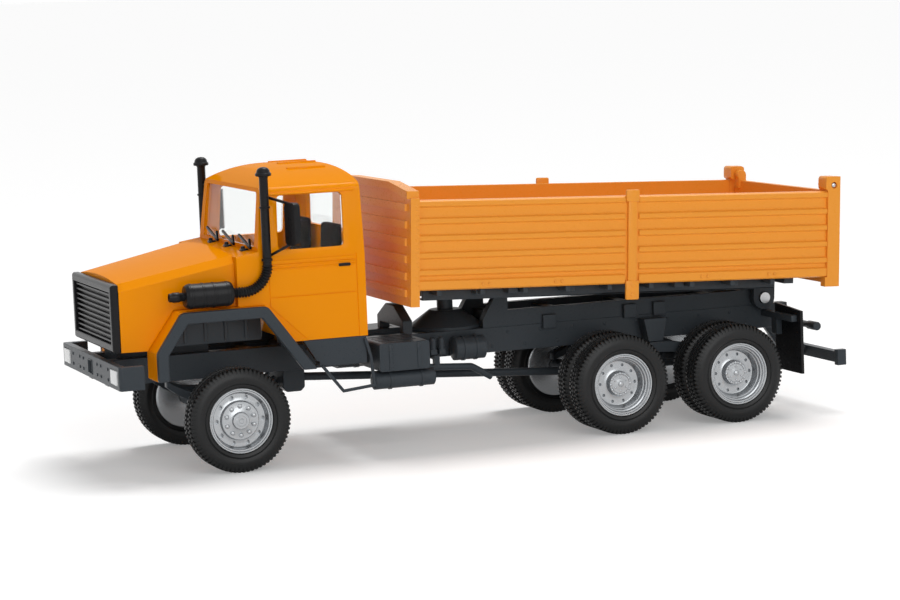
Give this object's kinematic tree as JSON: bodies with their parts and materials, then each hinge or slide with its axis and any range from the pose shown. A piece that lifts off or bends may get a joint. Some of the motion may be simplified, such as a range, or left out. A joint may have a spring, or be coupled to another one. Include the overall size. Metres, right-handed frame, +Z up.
{
  "type": "scale model tipper truck",
  "caption": "Bonneted tipper truck scale model with rolling wheel sets, a ribbed tipping bed, a top-hung tailgate, a glazed cab and twin air intake stacks.",
  "frame": {"origin": "on the ground below the middle of the whole truck, bumper lamps to underrun bar", "axes": "+X to the nose, +Y to the driver's left, +Z up from the ground the tyres stand on"},
  "size_m": [0.0952, 0.0314, 0.0358],
  "materials": {
    "cab_orange": "glossy moulded orange plastic",
    "bed_orange": "satin moulded orange plastic",
    "chassis_grey": "satin blue-grey moulded plastic",
    "trim_black": "satin black moulded plastic",
    "tyre_black": "matt soft vinyl",
    "rim_silver": "silver painted plastic",
    "axle_steel": "plain drawn rod",
    "glazing": "clear glossy moulding",
    "lamp_lens": "pale clear lens"
  },
  "bodies": {
    "chassis": {"frame_rails": "chassis_grey", "crossmembers": "chassis_grey", "front_bumper": "chassis_grey", "headlamps": "lamp_lens", "bonnet": "cab_orange", "grille_frame": "trim_black", "grille_slats": "trim_black", "cab_shell": "cab_orange", "cab_glazing": "glazing", "seats": "trim_black", "dashboard": "trim_black", "steering_wheel": "trim_black", "cab_mounts": "chassis_grey", "front_fenders": "cab_orange", "arch_flares": "chassis_grey", "sill_panels": "chassis_grey", "step_loops": "chassis_grey", "air_intakes": "trim_black", "mirrors": "trim_black", "wipers": "trim_black", "door_handles": "trim_black", "engine_block": "chassis_grey", "transfer_case": "chassis_grey", "front_axle_housing": "chassis_grey", "rear_axle_housings": "chassis_grey", "propshafts": "chassis_grey", "leaf_springs": "chassis_grey", "bogie_brackets": "chassis_grey", "tipper_subframe": "chassis_grey", "tip_shaft": "axle_steel", "subframe_clips": "chassis_grey", "ram_dish": "chassis_grey", "ram_cradle": "chassis_grey", "battery_box": "chassis_grey", "air_tank": "chassis_grey", "rail_tanks": "chassis_grey", "exhaust_pipe": "chassis_grey", "fuel_tank": "chassis_grey", "mud_flaps": "trim_black", "rear_brackets": "chassis_grey", "underrun_bar": "chassis_grey", "rear_lamps": "chassis_grey"},
    "front_wheelset": {"front_tyres": "tyre_black", "front_rims": "rim_silver", "front_axle_rod": "axle_steel"},
    "middle_wheelset": {"middle_tyres": "tyre_black", "middle_rims": "rim_silver", "middle_axle_rod": "axle_steel"},
    "rear_wheelset": {"rear_tyres": "tyre_black", "rear_rims": "rim_silver", "rear_axle_rod": "axle_steel"},
    "bed": {"bed_floor": "bed_orange", "bed_underframe": "chassis_grey", "headboard": "bed_orange", "side_wall_left": "bed_orange", "side_wall_right": "bed_orange", "bed_stakes": "bed_orange", "corner_posts": "bed_orange"},
    "tailgate": {"tailgate": "bed_orange"}
  },
  "joints": [
    {"name": "front_axle_spin", "type": "hinge", "parent": "chassis", "child": "front_wheelset", "pos_m": [0.033, 0, 0.0062], "axis": [0, 1, 0], "continuous": true},
    {"name": "middle_axle_spin", "type": "hinge", "parent": "chassis", "child": "middle_wheelset", "pos_m": [-0.016, 0, 0.0062], "axis": [0, 1, 0], "continuous": true},
    {"name": "rear_axle_spin", "type": "hinge", "parent": "chassis", "child": "rear_wheelset", "pos_m": [-0.0319, 0, 0.0062], "axis": [0, 1, 0], "continuous": true},
    {"name": "bed_tip", "type": "hinge", "parent": "chassis", "child": "bed", "pos_m": [-0.03977, 0, 0.01447], "axis": [0, -1, 0], "range_deg": [0, 45]},
    {"name": "tailgate_swing", "type": "hinge", "parent": "bed", "child": "tailgate", "pos_m": [-0.04576, 0, 0.02903], "axis": [0, 1, 0], "range_deg": [0, 60]}
  ]
}
